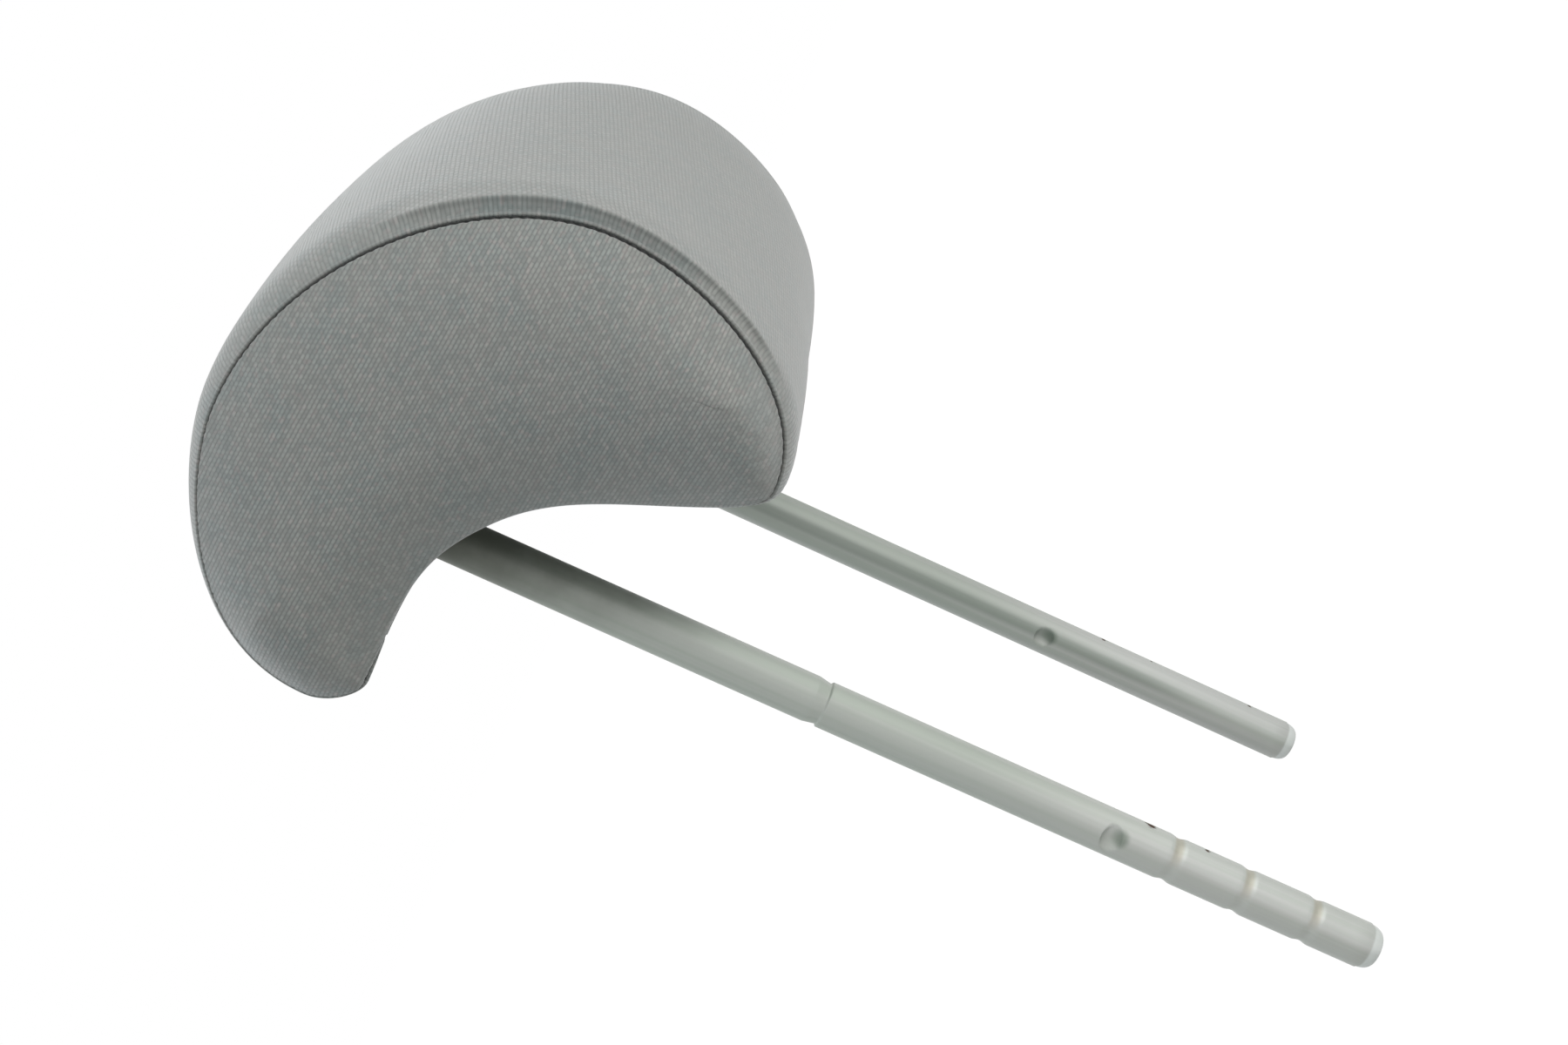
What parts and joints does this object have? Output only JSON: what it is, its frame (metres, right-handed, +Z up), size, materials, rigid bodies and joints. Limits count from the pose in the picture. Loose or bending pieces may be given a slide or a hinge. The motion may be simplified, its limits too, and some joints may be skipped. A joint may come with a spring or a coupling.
{
  "type": "car headrest",
  "caption": "Rear-seat car headrest: a padded fabric block with a hanging front lobe on two round steel posts, one of them with latch grooves.",
  "frame": {"origin": "midway between the end faces of the two posts", "axes": "+Z up along the posts, towards the pad; -Y towards the head, the side of the hanging lobe; +X from the grooved left post to the right post"},
  "size_m": [0.2316, 0.1387, 0.3264],
  "materials": {
    "post_steel": "satin plated steel",
    "core_plastic": "moulded black plastic",
    "screw_steel": "zinc-plated steel",
    "foam": "open-cell polyurethane foam",
    "band_fabric": "light grey ribbed seat fabric",
    "side_fabric": "mid grey twill seat fabric",
    "strip_plastic": "extruded natural plastic",
    "seam_thread": "dark sewing thread"
  },
  "bodies": {
    "root": {"post_frame": "post_steel", "core_upper": "core_plastic", "core_lower": "core_plastic", "core_screw_front_left": "screw_steel", "core_screw_front_right": "screw_steel", "core_screw_rear_left": "screw_steel", "core_screw_rear_right": "screw_steel", "foam_pad": "foam", "cover_band": "band_fabric", "cover_under": "band_fabric", "cover_side_left": "side_fabric", "cover_side_right": "side_fabric", "closure_strip_band": "strip_plastic", "closure_strip_under": "strip_plastic", "thread_side_left": "seam_thread", "thread_side_right": "seam_thread", "thread_lobe": "seam_thread", "thread_strip_band": "seam_thread", "thread_strip_under": "seam_thread"}
  },
  "joints": []
}
